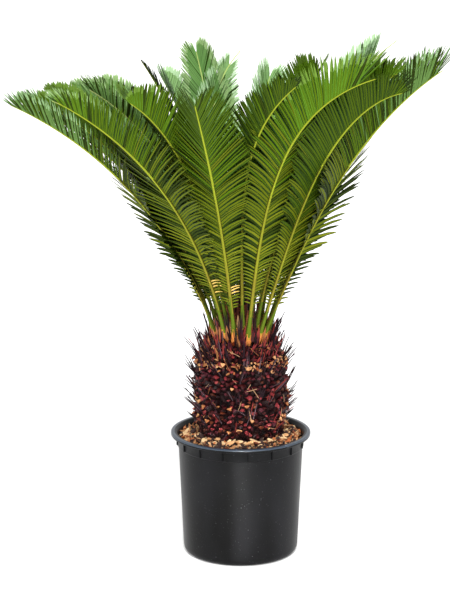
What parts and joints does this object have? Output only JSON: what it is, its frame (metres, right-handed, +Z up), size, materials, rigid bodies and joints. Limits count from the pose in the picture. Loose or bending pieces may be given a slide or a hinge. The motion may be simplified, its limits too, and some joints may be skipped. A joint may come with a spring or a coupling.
{
  "type": "sago palm in a nursery pot",
  "caption": "Young sago palm: stout scaly trunk with an open crown of feathery arching fronds, planted in a round black nursery pot filled with bark.",
  "frame": {"origin": "centre of the pot's flat underside", "axes": "+Z up along the trunk, -Y towards the plant's front"},
  "size_m": [1.3372, 1.5633, 1.6743],
  "materials": {
    "pot_plastic": "satin black moulded plastic with a little dust",
    "bark_mix": "rough, dry bark chips",
    "trunk_scales": "rough, dark old leaf bases with dry needles and wool",
    "frond_green": "stiff leathery leaf, glossy above and yellow-green below"
  },
  "bodies": {
    "root": {"pot": "pot_plastic", "bark_substrate": "bark_mix", "trunk": "trunk_scales", "frond_01": "frond_green", "frond_02": "frond_green", "frond_03": "frond_green", "frond_04": "frond_green", "frond_05": "frond_green", "frond_06": "frond_green", "frond_07": "frond_green", "frond_08": "frond_green", "frond_09": "frond_green", "frond_10": "frond_green", "frond_11": "frond_green", "frond_12": "frond_green", "frond_13": "frond_green", "frond_14": "frond_green", "frond_15": "frond_green", "frond_16": "frond_green", "frond_17": "frond_green", "frond_18": "frond_green", "frond_19": "frond_green", "frond_20": "frond_green", "frond_21": "frond_green", "frond_22": "frond_green", "frond_23": "frond_green", "frond_24": "frond_green", "frond_25": "frond_green", "frond_26": "frond_green", "frond_27": "frond_green", "frond_28": "frond_green", "frond_29": "frond_green", "frond_30": "frond_green", "frond_31": "frond_green", "frond_32": "frond_green"}
  },
  "joints": []
}
